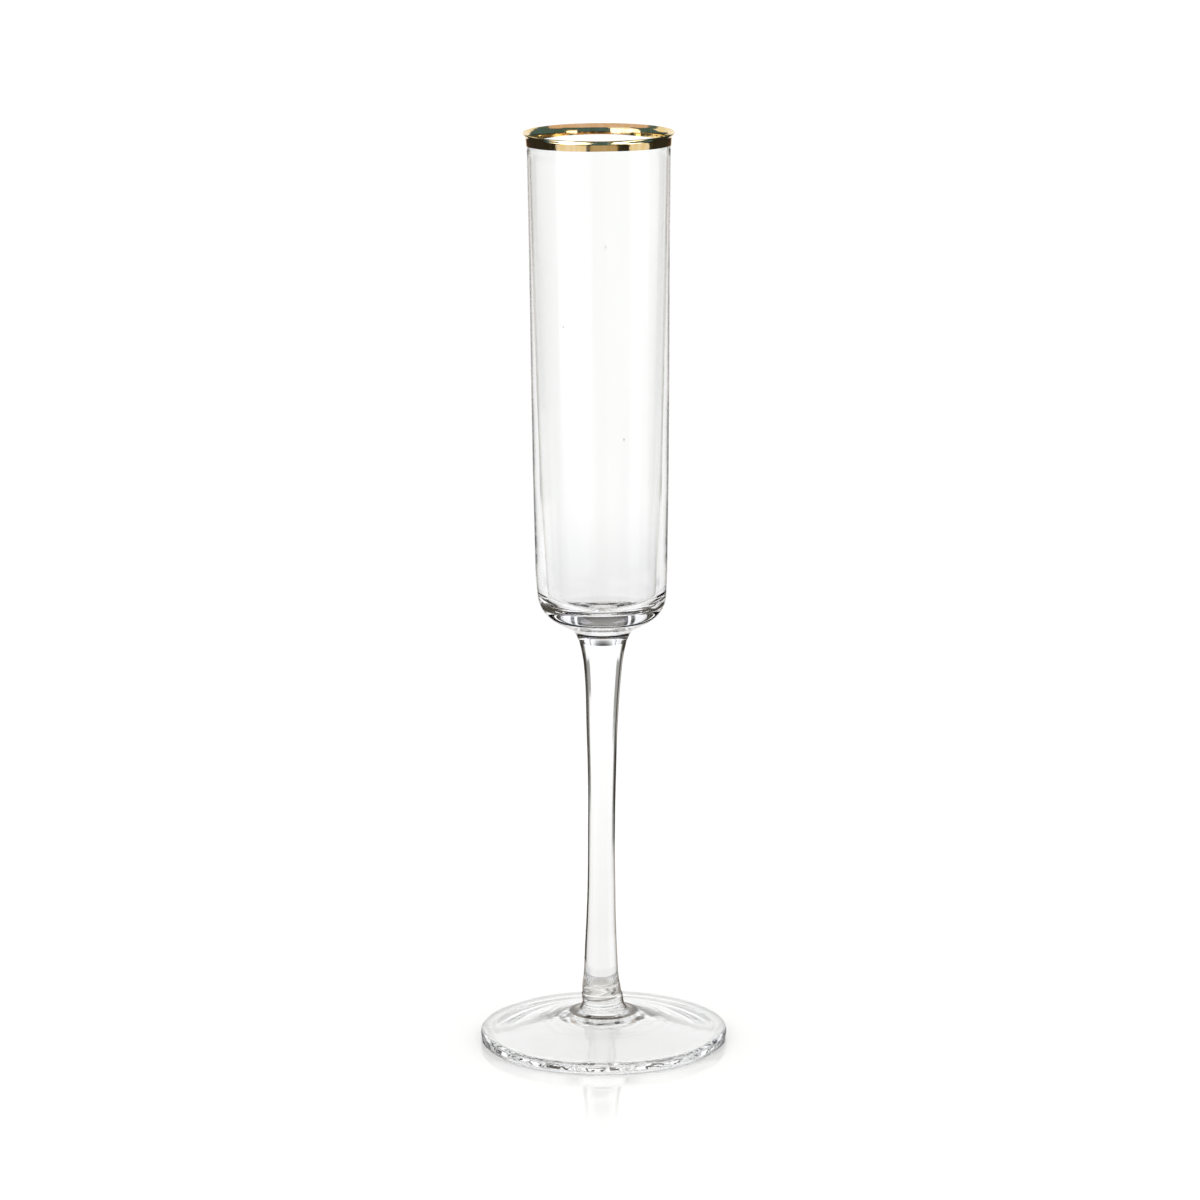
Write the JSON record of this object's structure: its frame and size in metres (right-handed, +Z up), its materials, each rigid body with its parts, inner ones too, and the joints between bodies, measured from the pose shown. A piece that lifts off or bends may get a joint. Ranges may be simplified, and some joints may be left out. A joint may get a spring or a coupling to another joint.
{
  "type": "champagne flute",
  "caption": "Slim, nearly cylindrical champagne flute of clear glass with a thick base, a waisted drawn stem, a round foot and a gold-coated lip.",
  "frame": {"origin": "centre of the foot's underside, on the surface that the flute stands on", "axes": "+Z up along the flute's axis, from the foot to the lip"},
  "size_m": [0.0722, 0.0722, 0.267],
  "materials": {
    "clear_glass": "fire-polished clear soda glass",
    "gold_lustre": "fired bright gold lustre"
  },
  "bodies": {
    "root": {"bowl": "clear_glass", "gold_rim_band": "gold_lustre", "stem": "clear_glass", "stem_collar": "clear_glass", "foot": "clear_glass"}
  },
  "joints": []
}
